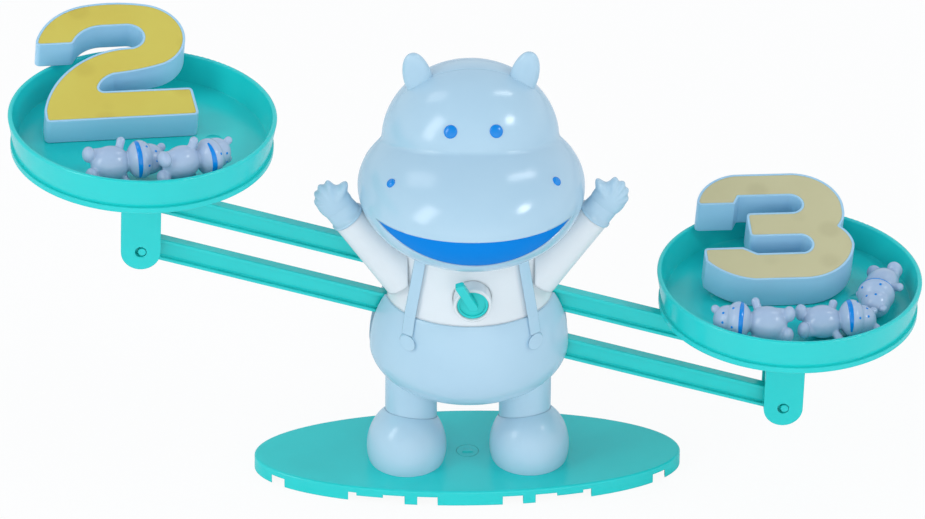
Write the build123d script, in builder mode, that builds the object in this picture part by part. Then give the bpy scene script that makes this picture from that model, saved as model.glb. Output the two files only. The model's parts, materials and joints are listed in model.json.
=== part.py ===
"""A hippo-shaped counting balance for children, in millimetres.

A standing figure carries two parallel beams that cross its trunk. The beam ends hold two round pans,
so the pans stay nearly level while the beams tilt. The model is in the pose where the right pan is down.
X runs to the viewer's right, Y to the back and Z up. The origin is under the middle of the base."""
from build123d import *
from math import atan, atan2, cos, degrees, radians, sin, sqrt
import os

os.makedirs("parts", exist_ok=True)

# Clearances shared by the whole toy
overrun = 5.0  # how far a cutting tool reaches past what it cuts
fit_gap = 0.15  # between pieces that are pushed together and do not move
run_gap = 0.06  # radial gap of a shaft that turns in a hole
side_gap = 0.4  # between the flank of a turning piece and its bearing
seat_gap = 0.25  # between a loose weight and what it lies on

# Base: a long oval plate on a notched skirt
base_half_length = 89.0
base_half_depth = 32.4
base_height = 6.5
base_plate = 1.8
base_edge_round = 0.9
skirt_wall = 2.2
skirt_lip = 2.6
skirt_shallow_lip = 4.0
skirt_gap_shares = ((0.152, 0.247), (0.306, 0.407), (0.53, 0.568), (0.863, 0.921))
skirt_shallow_shares = (0.407, 0.53)
centre_foot_radius = 5.0
cap_radius = 4.6
cap_depth = 0.8
cap_mark_width = 4.4
cap_mark_taper = 24.0
cap_mark_rise = 0.4

# Legs and shoes
leg_spacing = 47.4
leg_radius = 10.8
leg_top = 54.0
leg_wall = 2.4
leg_flange_reach = 1.6
leg_flange_height = 44.6
leg_flange_thickness = 2.0
shoe_half_width = 16.6
shoe_half_length = 17.6
shoe_half_height = 19.0
shoe_centre_height = 12.5
shoe_forward = 3.4
shoe_outward = 1.9
shoe_socket_floor = 18.0
screw_radius = 1.6
screw_head_radius = 3.0
screw_head_height = 1.6
screw_boss_radius = 4.4
screw_boss_lift = 0.9
leg_screw_length = 26.0
leg_boss_height = 14.0

# Trunk: overalls below, shirt above, each made of a front and a back shell
trunk_depth_ratio = 0.88
trunk_wall = 2.2
belly_bottom = 41.5
belly_flat_radius = 14.0
belly_radius = 41.3
belly_height = 61.5
waist_radius = 35.2
waist_drop = 12.3
waist_step = 0.8
waist_lean = 32.0
waist_lap = 4.0
shirt_low_lean = 10.0
shirt_top_lean = 36.0
neck_radius = 24.5
neck_rise = 26.2
neck_spool_radius = 9.0
neck_spool_rim = 2.6
neck_spool_rim_height = 2.6
slot_half_width = 3.6
slot_below = 24.8
slot_above = 13.2
shirt_screw_spread = 17.0
shirt_screw_drop = 5.8
belly_screw_spread = 6.6
belly_screw_rise = 5.2
case_screw_reach = 10.0
case_screw_head_depth = 9.0

# Beams: two parallel bars, tilted, that turn on pivots in the trunk
beam_tilt = 16.6
pan_lean = 1.4
pivot_height = 97.8
beam_spacing = 22.5
beam_drop = 5.6
beam_reach = 139.0
beam_height = 9.6
beam_thickness = 5.0
beam_pocket_depth = 1.6
beam_rim = 1.5
beam_pocket_end = 6.0
beam_pocket_round_share = 0.45
beam_edge_round = 0.5
hub_radius = 7.0
hub_half_width = 6.0
end_boss_radius = 4.0
stud_radius = 1.6
journal_radius = 3.0
journal_back_reach = 22.0
pivot_boss_radius = 6.0
lower_pin_radius = 2.0
lower_pin_half_length = 22.0
press_gap = 0.02

# Trim knob in its collar on the shirt
collar_radius = 7.8
collar_face = 34.5
collar_start = 22.0
collar_socket_wall = 1.8
collar_round = 0.6
knob_radius = 6.4
knob_recess = 4.4
knob_thickness = 3.3
knob_dish_radius = 5.4
knob_dish_depth = 0.8
spigot_radius = 1.8
spigot_length = 1.7
lever_length = 14.6
lever_width = 3.7
lever_thickness = 2.2
lever_angle = 24.0
lever_rise = 18.0

# Pans: a dish on a foot disc whose two plates straddle the beam ends
pan_rim_radius = 55.0
pan_base_radius = 52.6
pan_height = 12.9
pan_floor = 1.6
pan_wall = 2.0
pan_rim_round = 0.8
foot_disc_radius = 53.7
foot_disc_thickness = 2.6
foot_disc_round = 0.6
stem_top = 22.6
stem_width = 16.3
stem_half_depth = 8.0
stem_plate = 2.4
stem_spine = 1.6
lower_hole_radius = 2.4
pan_screw_spread = 29.0
pan_screw_length = 3.6
pan_screw_boss_depth = 4.0
pan_screw_sink = 1.0

# Head: a crown above and a wide muzzle below, split into a front and a back shell
head_wall = 3.0
crown_half_width = 36.4
crown_half_depth = 34.0
crown_half_height = 32.6
crown_back = 4.0
crown_rise = 30.9
muzzle_half_width = 46.5
muzzle_front_reach = 52.5
muzzle_back_reach = 42.0
muzzle_half_height = 27.7
muzzle_forward = 8.0
muzzle_rise = 16.2
mouth_half_width = 39.6
mouth_corner_rise = 0.2
mouth_upper_rise = 2.6
mouth_lower_drop = 10.1
mouth_depth = 1.5
mouth_sink = 0.5
eye_radius = 2.7
eye_spread = 9.3
eye_rise = 18.5
nostril_radius = 2.0
nostril_spread = 33.8
nostril_rise = 14.6
inlay_rise = 0.4
inlay_depth = 1.2
inlay_round = 0.35
ear_half_width = 5.9
ear_half_depth = 4.4
ear_half_height = 10.5
ear_spread = 22.6
ear_back = 5.0
ear_stand = 4.16
ear_lean = 14.0
ear_peg_radius = 2.4
ear_peg_length = 17.0
head_screw_spread = 26.0
head_screw_rise = 6.4

# Arms: raised sleeves with stubby hands
arm_forward = 11.6
shoulder_spread = 27.0
shoulder_rise = 12.0
shoulder_radius = 9.0
shoulder_half_depth = 7.6
shoulder_root = 26.0
cuff_spread = 50.2
cuff_rise = 29.5
cuff_radius = 6.9
cuff_lip = 0.5
cuff_lip_length = 1.4
cuff_bore_depth = 6.0
wrist_radius = 4.4
palm_half_width = 7.0
palm_half_depth = 4.6
palm_half_length = 8.6
palm_offset = 9.4
palm_root_radius = 5.8
palm_root_taper = 9.0
finger_radius = 2.4
finger_reach = 7.4
finger_angles = (18.0, -6.0, -30.0, -56.0)
finger_reach_shares = (1, 1, 0.92, 0.8)
thumb_angle = 62.0
thumb_reach = 7.4
thumb_radius = 2.5

# Braces: two flat straps on each side of the trunk, with a button at the front
strap_width = 4.2
strap_rise = 0.9
strap_top_spread = 19.0
strap_bottom_spread = 26.4
strap_bottom_drop = 6.5
button_radius = 3.0
button_rise = 1.3
button_drop = 3.0

# Number weights: a hollow body and an inset face plate
number_wall = 2.0
number_border = 1.0
number_face = 1.6
two_width = 62.7
two_height = 65.5
two_thickness = 12.4
two_left = 39.5
two_front = 5.2
two_turn = 7.0
two_rest_share = 0.03
three_width = 63.0
three_height = 62.6
three_thickness = 15.1
three_left = 34.5
three_front = 9.0
three_turn = 4.0
three_rest_share = 0.0

# Small hippo counters
mini_belly_half_width = 7.2
mini_belly_half_depth = 6.2
mini_belly_half_height = 8.2
mini_belly_height = 11.2
mini_muzzle_half_width = 7.9
mini_muzzle_half_depth = 7.6
mini_muzzle_half_height = 5.6
mini_muzzle_height = 23.2
mini_muzzle_forward = 1.6
mini_crown_half_width = 6.3
mini_crown_half_depth = 6.0
mini_crown_half_height = 6.4
mini_crown_height = 27.2
mini_ear_radius = 1.8
mini_ear_spread = 4.2
mini_ear_height = 33.0
mini_leg_spread = 4.4
mini_leg_radius = 2.4
mini_shoe_half_width = 3.3
mini_shoe_half_length = 3.8
mini_shoe_half_height = 2.6
mini_shoe_forward = 0.9
mini_arm_radius = 1.6
mini_arm_reach = 8.6
mini_arm_height = 16.8
mini_shoulder_height = 13.4
mini_hand_radius = 1.8
mini_mouth_drop = 1.4
mini_mouth_height = 1.9
mini_mouth_depth = 0.6
mini_lift = 0.3
mini_place_shares = {
    "left_first_mini": ("left", -0.204, -0.665),
    "left_second_mini": ("left", 0.335, -0.698),
    "right_first_mini": ("right", -0.266, -0.665),
    "right_second_mini": ("right", 0.266, -0.57),
    "right_third_mini": ("right", 0.722, -0.038),
}
mini_turns = {
    "left_first_mini": (-76.0, 50.0),
    "left_second_mini": (-60.0, 90.0),
    "right_first_mini": (82.0, -50.0),
    "right_second_mini": (-84.0, 25.0),
    "right_third_mini": (166.0, 20.0),
}

# Places worked out from the sizes above
leg_x = leg_spacing / 2
lower_pivot_height = pivot_height - beam_spacing
waist_height = pivot_height - waist_drop
neck_height = pivot_height + neck_rise
slot_bottom = lower_pivot_height - slot_below
slot_top = pivot_height + slot_above
shoulder_height = waist_height + shoulder_rise
cuff_height = shoulder_height + cuff_rise
strap_bottom_height = waist_height - strap_bottom_drop
button_height = strap_bottom_height - button_drop
crown_height = neck_height + crown_rise
eye_height = crown_height + eye_rise
muzzle_height = neck_height + muzzle_rise
nostril_height = muzzle_height + nostril_rise
mouth_corner_height = muzzle_height + mouth_corner_rise
mouth_upper_height = mouth_corner_height + mouth_upper_rise
mouth_lower_height = mouth_corner_height - mouth_lower_drop
ear_off_shares = (ear_spread / crown_half_width, (ear_back - crown_back) / crown_half_depth)
ear_seat_share = sqrt(1 - ear_off_shares[0] ** 2 - ear_off_shares[1] ** 2)
ear_height = crown_height + crown_half_height * ear_seat_share + ear_stand
pan_depth = pan_height - pan_floor
pan_floor_height = stem_top + foot_disc_thickness + pan_floor
collar_floor = collar_face - knob_recess
upper_hole_radius = stud_radius + run_gap
journal_bore = journal_radius + run_gap
boss_start = hub_half_width + side_gap
across = Vector(cos(radians(beam_tilt)), 0, -sin(radians(beam_tilt)))
upright = Vector(sin(radians(beam_tilt)), 0, cos(radians(beam_tilt)))
upper_plane = Plane(origin=(0, 0, pivot_height), x_dir=across, z_dir=(0, -1, 0))
lower_plane = Plane(origin=(0, 0, lower_pivot_height), x_dir=across, z_dir=(0, -1, 0))


def save(piece, name):
    """Labels a finished piece and writes it under its node's name."""
    piece.label = name
    export_step(piece, f"parts/{name}.step")
    print(name, len(piece.solids()), round(piece.volume / 1000, 2))


def ellipsoid(half_width, half_depth, half_height, place):
    """A solid with three half axes along X, Y and Z, centred at place."""
    with BuildPart(mode=Mode.PRIVATE) as form:
        Sphere(1)
        scale(by=(half_width, half_depth, half_height))
    return Pos(*place) * form.part


def box_between(low, high):
    """A box from its lowest to its highest corner."""
    size = [b - a for a, b in zip(low, high)]
    middle = [(a + b) / 2 for a, b in zip(low, high)]
    return Pos(*middle) * Box(*size)


# Base plate
with BuildPart() as base_plate_part:
    with BuildSketch():
        Ellipse(base_half_length, base_half_depth)
    extrude(amount=base_height)
    fillet(base_plate_part.edges().group_by(Axis.Z)[-1], base_edge_round)
    with BuildSketch():
        Ellipse(base_half_length - skirt_wall, base_half_depth - skirt_wall)
    extrude(amount=base_height - base_plate, mode=Mode.SUBTRACT)
    notches = [(shares, skirt_lip) for shares in skirt_gap_shares]
    notches.append((skirt_shallow_shares, skirt_shallow_lip))
    for (start_share, end_share), lip in notches:
        width = base_half_length * (end_share - start_share)
        middle = base_half_length * (end_share + start_share) / 2
        with Locations((-middle, 0), (middle, 0)):
            Box(width, base_half_depth * 2 + overrun, (base_height - lip) * 2, mode=Mode.SUBTRACT)
    with BuildSketch():
        Circle(centre_foot_radius)
    extrude(amount=base_height - base_plate)
    with BuildSketch(Plane.XY.offset(screw_boss_lift)):
        with Locations((-leg_x, 0), (leg_x, 0)):
            Circle(screw_boss_radius)
    extrude(amount=base_height - base_plate - screw_boss_lift)
    with BuildSketch(Plane.XY.offset(screw_boss_lift)):
        with Locations((-leg_x, 0), (leg_x, 0)):
            Circle(screw_head_radius + fit_gap)
    extrude(amount=screw_head_height, mode=Mode.SUBTRACT)
    with BuildSketch():
        with Locations((-leg_x, 0), (leg_x, 0)):
            Circle(screw_radius + fit_gap)
    extrude(amount=base_height + overrun, mode=Mode.SUBTRACT)
    with BuildSketch(Plane.XY.offset(base_height)):
        Circle(cap_radius + fit_gap)
    extrude(amount=-cap_depth, mode=Mode.SUBTRACT)
save(base_plate_part.part, "base_plate")

with BuildPart() as base_cap:
    with BuildSketch(Plane.XY.offset(base_height)):
        Circle(cap_radius)
    extrude(amount=-cap_depth)
    with BuildSketch(Plane.XY.offset(base_height)):
        Trapezoid(cap_mark_width, cap_mark_width / 2, 90 - cap_mark_taper)
    extrude(amount=cap_mark_rise)
save(base_cap.part, "base_cap")


def overalls_form(inset):
    """The overalls' outer form, or the space inside it where inset is the wall."""
    low = belly_bottom + inset
    wide = belly_radius - inset
    waist = waist_radius - inset
    with BuildPart(mode=Mode.PRIVATE) as form:
        with BuildSketch(Plane.XZ):
            with BuildLine():
                Polyline((0, waist_height), (0, low), (belly_flat_radius, low))
                EllipticalCenterArc((belly_flat_radius, belly_height), wide - belly_flat_radius,
                                    belly_height - low, start_angle=270, arc_size=90)
                Spline((wide, belly_height), (waist, waist_height),
                       tangents=((0, 1), (-sin(radians(waist_lean)), cos(radians(waist_lean)))))
                Line((waist, waist_height), (0, waist_height))
            make_face()
        revolve(axis=Axis.Z)
        scale(by=(1, trunk_depth_ratio, 1))
    return form.part


def shirt_form(inset, bottom, top):
    """The shirt's outer form from bottom to top, or the space inside it where inset is the wall."""
    low = waist_height - waist_lap - overrun
    high = neck_height + overrun
    waist = waist_radius - waist_step - inset
    neck = neck_radius - inset
    with BuildPart(mode=Mode.PRIVATE) as form:
        with BuildSketch(Plane.XZ):
            with BuildLine():
                Polyline((0, high), (0, low), (waist, low), (waist, waist_height))
                Spline((waist, waist_height), (neck, neck_height),
                       tangents=((-sin(radians(shirt_low_lean)), cos(radians(shirt_low_lean))),
                                 (-sin(radians(shirt_top_lean)), cos(radians(shirt_top_lean)))))
                Polyline((neck, neck_height), (neck, high), (0, high))
            make_face()
        revolve(axis=Axis.Z)
        scale(by=(1, trunk_depth_ratio, 1))
        split(bisect_by=Plane.XY.offset(top), keep=Keep.BOTTOM)
        split(bisect_by=Plane.XY.offset(bottom), keep=Keep.TOP)
    return form.part


def sleeve_form(side, grow):
    """A raised sleeve, a tapered round bar from the shoulder to the cuff."""
    start = Vector(side * shoulder_spread, -arm_forward, shoulder_height)
    end = Vector(side * cuff_spread, -arm_forward, cuff_height)
    with BuildPart(mode=Mode.PRIVATE) as form:
        with BuildSketch(Plane(origin=start, x_dir=(0, 1, 0), z_dir=end - start)):
            Ellipse(shoulder_half_depth + grow, shoulder_radius + grow)
        with BuildSketch(Plane(origin=end, x_dir=(0, 1, 0), z_dir=end - start)):
            Ellipse(cuff_radius + grow, cuff_radius + grow)
        loft()
        split(bisect_by=Plane.YZ.offset(side * shoulder_root), keep=Keep.TOP if side > 0 else Keep.BOTTOM)
    return form.part


def hand_plane(side):
    """The plane of a cuff's end, its X to the thumb's side and its normal along the arm."""
    start = Vector(side * shoulder_spread, -arm_forward, shoulder_height)
    end = Vector(side * cuff_spread, -arm_forward, cuff_height)
    run = (end - start).normalized()
    return Plane(origin=end, x_dir=(-side * run.Z, 0, side * run.X), z_dir=run)


overalls_outer = overalls_form(0)
overalls_middle = overalls_form(trunk_wall / 2)
overalls_inner = overalls_form(trunk_wall)
shirt_outer = shirt_form(0, waist_height, neck_height)
shirt_middle = shirt_form(trunk_wall / 2, waist_height, neck_height)
shirt_inner = shirt_form(trunk_wall, waist_height - waist_lap, neck_height - trunk_wall)
shirt_lap = shirt_form(trunk_wall + fit_gap - waist_step, waist_height - waist_lap, waist_height)
shirt_lap_bore = shirt_form(2 * trunk_wall - waist_step, waist_height - waist_lap, waist_height)
reach = belly_radius + overrun
front_half = box_between((-reach, -reach - arm_forward, 0), (reach, 0, neck_height + overrun))
back_half = box_between((-reach, 0, 0), (reach, reach, neck_height + overrun))
beam_slot = box_between((-reach, -slot_half_width, slot_bottom), (reach, slot_half_width, slot_top))
leg_tubes = [Pos(x, 0, leg_top / 2 + shoe_socket_floor / 2)
             * Cylinder(leg_radius + fit_gap, leg_top - shoe_socket_floor) for x in (-leg_x, leg_x)]


def rod(radius, start, end, x, z):
    """A round bar along Y from start to end at the place x, z."""
    with BuildPart(mode=Mode.PRIVATE) as form:
        with BuildSketch(Plane(origin=(x, start, z), x_dir=(1, 0, 0), z_dir=(0, 1, 0))):
            Circle(radius)
        extrude(amount=end - start)
    return form.part


# Screws that clamp the front and back shells together
shirt_screw_z = neck_height - shirt_screw_drop
belly_screw_z = belly_bottom + belly_screw_rise
head_floor = neck_height + fit_gap
head_screw_z = head_floor + head_screw_rise
case_screws = {
    "shirt": ((-shirt_screw_spread, shirt_screw_z), (shirt_screw_spread, shirt_screw_z)),
    "overalls": ((-belly_screw_spread, belly_screw_z), (belly_screw_spread, belly_screw_z)),
    "head": ((-head_screw_spread, head_screw_z), (head_screw_spread, head_screw_z)),
}
case_seams = {"shirt": 0, "overalls": 0, "head": crown_back}


def screw_bosses(group, inside, facing):
    """The bosses of one shell's screws, kept within the form inside."""
    seam = case_seams[group]
    length = reach if facing > 0 else case_screw_reach + trunk_wall
    end = seam + facing * length
    return [rod(screw_boss_radius, seam, end, x, z) & inside for x, z in case_screws[group]]


def screw_holes(group, facing):
    """The bores that a shell's screws pass through, with a wide well behind each head."""
    seam = case_seams[group]
    holes = []
    for x, z in case_screws[group]:
        if facing > 0:
            holes.append(rod(screw_radius + fit_gap, seam - overrun, seam + case_screw_head_depth, x, z))
            holes.append(rod(screw_head_radius + fit_gap, seam + case_screw_head_depth, seam + reach, x, z))
        else:
            holes.append(rod(screw_radius + press_gap, seam + overrun, seam - case_screw_reach, x, z))
    return holes


for facing, name, half in ((-1, "overalls_front", front_half), (1, "overalls_back", back_half)):
    with BuildPart() as overalls_shell:
        add(overalls_outer - overalls_inner)
        add(screw_bosses("overalls", overalls_middle, facing))
        lower_boss = rod(pivot_boss_radius, facing * boss_start, facing * reach, 0, lower_pivot_height)
        add(lower_boss & overalls_middle)
        add(half, mode=Mode.INTERSECT)
        add(beam_slot, mode=Mode.SUBTRACT)
        add(leg_tubes, mode=Mode.SUBTRACT)
        add(screw_holes("overalls", facing), mode=Mode.SUBTRACT)
        add(rod(lower_pin_radius + press_gap, 0, facing * (lower_pin_half_length + press_gap), 0,
                lower_pivot_height), mode=Mode.SUBTRACT)
    save(overalls_shell.part, name)

spool_bore = Pos(0, 0, neck_height) * Cylinder(neck_spool_radius, 2 * overrun + 2 * trunk_wall)
sleeve_bores = []
for side in (-1, 1):
    with BuildPart() as bore:
        with BuildSketch(hand_plane(side)):
            Circle(wrist_radius + fit_gap)
        extrude(amount=-cuff_bore_depth)
    sleeve_bores.append(bore.part)

collar_socket_radius = collar_radius + fit_gap + collar_socket_wall
with BuildPart() as shirt_front:
    add(shirt_outer - shirt_inner)
    add(shirt_lap - shirt_lap_bore)
    add(screw_bosses("shirt", shirt_middle, -1))
    add(rod(collar_socket_radius, -boss_start, -reach, 0, pivot_height) & shirt_middle)
    add(front_half, mode=Mode.INTERSECT)
    add([sleeve_form(side, 0) - shirt_inner for side in (-1, 1)])
    add(sleeve_bores, mode=Mode.SUBTRACT)
    add(beam_slot, mode=Mode.SUBTRACT)
    add(spool_bore, mode=Mode.SUBTRACT)
    add(screw_holes("shirt", -1), mode=Mode.SUBTRACT)
    add(rod(journal_bore, 0, -reach, 0, pivot_height), mode=Mode.SUBTRACT)
    add(rod(collar_radius + fit_gap, -collar_start, -reach, 0, pivot_height), mode=Mode.SUBTRACT)
save(shirt_front.part, "shirt_front")

with BuildPart() as shirt_back:
    add(shirt_outer - shirt_inner)
    add(shirt_lap - shirt_lap_bore)
    add(screw_bosses("shirt", shirt_middle, 1))
    add(rod(pivot_boss_radius, boss_start, reach, 0, pivot_height) & shirt_middle)
    add(back_half, mode=Mode.INTERSECT)
    add(beam_slot, mode=Mode.SUBTRACT)
    add(spool_bore, mode=Mode.SUBTRACT)
    add(screw_holes("shirt", 1), mode=Mode.SUBTRACT)
    add(rod(journal_bore, 0, journal_back_reach + side_gap, 0, pivot_height), mode=Mode.SUBTRACT)
save(shirt_back.part, "shirt_back")

# Pieces inside the trunk
with BuildPart() as neck_spool:
    spool_low = neck_height - trunk_wall - fit_gap - neck_spool_rim_height
    spool_high = head_floor + head_wall + fit_gap
    with BuildSketch(Plane.XY.offset(spool_low)):
        Circle(neck_spool_radius - fit_gap)
    extrude(amount=spool_high + neck_spool_rim_height - spool_low)
    for level in (spool_low, spool_high):
        with BuildSketch(Plane.XY.offset(level)):
            Circle(neck_spool_radius + neck_spool_rim)
        extrude(amount=neck_spool_rim_height)
save(neck_spool.part, "neck_spool")

with BuildPart() as lower_pin:
    with BuildSketch(Plane.XZ.offset(-lower_pin_half_length)):
        with Locations((0, lower_pivot_height)):
            Circle(lower_pin_radius)
    extrude(amount=2 * lower_pin_half_length)
save(lower_pin.part, "lower_pivot_pin")


def case_screw_group(group, name):
    """The pair of screws that clamps one pair of shells, from the back."""
    seam = case_seams[group]
    with BuildPart() as screws:
        for x, z in case_screws[group]:
            add(rod(screw_radius, seam - case_screw_reach + side_gap, seam + case_screw_head_depth, x, z))
            head_start = seam + case_screw_head_depth
            add(rod(screw_head_radius, head_start, head_start + screw_head_height, x, z))
    save(screws.part, name)


case_screw_group("overalls", "overalls_screws")
case_screw_group("shirt", "shirt_screws")
case_screw_group("head", "head_screws")

# Legs, shoes and the screws that hold them to the base
for side, hand in ((-1, "left"), (1, "right")):
    x = side * leg_x
    with BuildPart() as shoe:
        add(ellipsoid(shoe_half_width, shoe_half_length, shoe_half_height,
                      (x + side * shoe_outward, -shoe_forward, shoe_centre_height)))
        split(bisect_by=Plane.XY.offset(base_height), keep=Keep.TOP)
        with BuildSketch(Plane.XY.offset(shoe_socket_floor)):
            with Locations((x, 0)):
                Circle(leg_radius + fit_gap)
        extrude(amount=leg_top, mode=Mode.SUBTRACT)
        with BuildSketch(Plane.XY.offset(base_height)):
            with Locations((x, 0)):
                Circle(screw_radius + fit_gap)
        extrude(amount=leg_top, mode=Mode.SUBTRACT)
    save(shoe.part, f"{hand}_shoe")
    collar = Pos(x, 0, leg_flange_height + leg_flange_thickness / 2) * Cylinder(
        leg_radius + leg_flange_reach, leg_flange_thickness)
    with BuildPart() as leg:
        with BuildSketch(Plane.XY.offset(shoe_socket_floor)):
            with Locations((x, 0)):
                Circle(leg_radius)
        extrude(amount=leg_top - shoe_socket_floor)
        add(collar & overalls_form(trunk_wall + fit_gap))
        with BuildSketch(Plane.XY.offset(shoe_socket_floor + leg_boss_height)):
            with Locations((x, 0)):
                Circle(leg_radius - leg_wall)
        extrude(amount=leg_top, mode=Mode.SUBTRACT)
        with BuildSketch(Plane.XY.offset(shoe_socket_floor)):
            with Locations((x, 0)):
                Circle(screw_radius + press_gap)
        extrude(amount=leg_top, mode=Mode.SUBTRACT)
    save(leg.part, f"{hand}_leg")

with BuildPart() as leg_screws:
    with BuildSketch(Plane.XY.offset(screw_boss_lift)):
        with Locations((-leg_x, 0), (leg_x, 0)):
            Circle(screw_head_radius)
    extrude(amount=screw_head_height)
    with BuildSketch(Plane.XY.offset(screw_boss_lift)):
        with Locations((-leg_x, 0), (leg_x, 0)):
            Circle(screw_radius)
    extrude(amount=leg_screw_length)
save(leg_screws.part, "leg_screws")

# Collar, pushed onto the upper beam's journal, with the knob and its lever in it
collar_back = collar_start + side_gap
with BuildPart() as knob_collar:
    with BuildSketch(Plane.XZ.offset(collar_back)):
        with Locations((0, pivot_height)):
            Circle(collar_radius)
    extrude(amount=collar_face - collar_back)
    fillet(knob_collar.edges().group_by(Axis.Y)[0], collar_round)
    with BuildSketch(Plane.XZ.offset(collar_floor)):
        with Locations((0, pivot_height)):
            Circle(knob_radius + fit_gap)
    extrude(amount=knob_recess, mode=Mode.SUBTRACT)
    with BuildSketch(Plane.XZ):
        with Locations((0, pivot_height)):
            Circle(journal_radius + press_gap)
    extrude(amount=collar_face, mode=Mode.SUBTRACT)
save(knob_collar.part, "knob_collar")

knob_back = collar_floor + fit_gap
knob_front = knob_back + knob_thickness
lever_plane = Plane(origin=(0, -knob_front + knob_dish_depth, pivot_height),
                    x_dir=(cos(radians(lever_angle)), 0, sin(radians(lever_angle))), z_dir=(0, -1, 0))
with BuildPart() as trim_knob:
    with BuildSketch(Plane.XZ.offset(knob_back)):
        with Locations((0, pivot_height)):
            Circle(knob_radius)
    extrude(amount=knob_thickness)
    with BuildSketch(Plane.XZ.offset(knob_front)):
        with Locations((0, pivot_height)):
            Circle(knob_dish_radius)
    extrude(amount=-knob_dish_depth, mode=Mode.SUBTRACT)
    with BuildSketch(Plane.XZ.offset(knob_back)):
        with Locations((0, pivot_height)):
            Circle(spigot_radius + run_gap)
    extrude(amount=spigot_length, mode=Mode.SUBTRACT)
    with BuildSketch(lever_plane.rotated((lever_rise, 0, 0))):
        with Locations((0, lever_length / 2 - lever_width / 4)):
            RectangleRounded(lever_width, lever_length + lever_width / 2, lever_width / 4)
    extrude(amount=lever_thickness)
save(trim_knob.part, "trim_knob")

# Beams
bar_start = hub_radius + beam_rim
bar_end = beam_reach - beam_pocket_end
for name, beam_plane, pivot in (("upper_beam", upper_plane, pivot_height),
                                ("lower_beam", lower_plane, lower_pivot_height)):
    with BuildPart() as beam:
        with BuildSketch(beam_plane):
            with Locations((0, -beam_drop)):
                SlotCenterToCenter(2 * beam_reach, beam_height)
        extrude(amount=beam_thickness / 2, both=True)
        fillet(beam.faces().filter_by(Axis.Y).edges(), beam_edge_round)
        pocket_height = beam_height - 2 * beam_rim
        for facing in (-1, 1):
            with BuildSketch(beam_plane.offset(facing * beam_thickness / 2)):
                for side in (-1, 1):
                    with Locations((side * (bar_start + bar_end) / 2, -beam_drop)):
                        RectangleRounded(bar_end - bar_start, pocket_height,
                                         pocket_height * beam_pocket_round_share)
            extrude(amount=-facing * beam_pocket_depth, mode=Mode.SUBTRACT)
        with BuildSketch(beam_plane):
            Circle(hub_radius)
        extrude(amount=hub_half_width, both=True)
        ends = [(-beam_reach, -beam_drop), (beam_reach, -beam_drop)]
        with BuildSketch(beam_plane):
            with Locations(ends):
                Circle(end_boss_radius)
        extrude(amount=stem_half_depth - stem_plate - side_gap, both=True)
        with BuildSketch(beam_plane):
            with Locations(ends):
                Circle(stud_radius)
        extrude(amount=stem_half_depth, both=True)
        if name == "upper_beam":
            add(rod(journal_radius, -collar_floor, journal_back_reach, 0, pivot))
            add(rod(spigot_radius, -collar_floor - spigot_length, -collar_floor, 0, pivot))
        else:
            add(rod(lower_pin_radius + run_gap, -beam_reach, beam_reach, 0, pivot), mode=Mode.SUBTRACT)
    save(beam.part, name)

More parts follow.
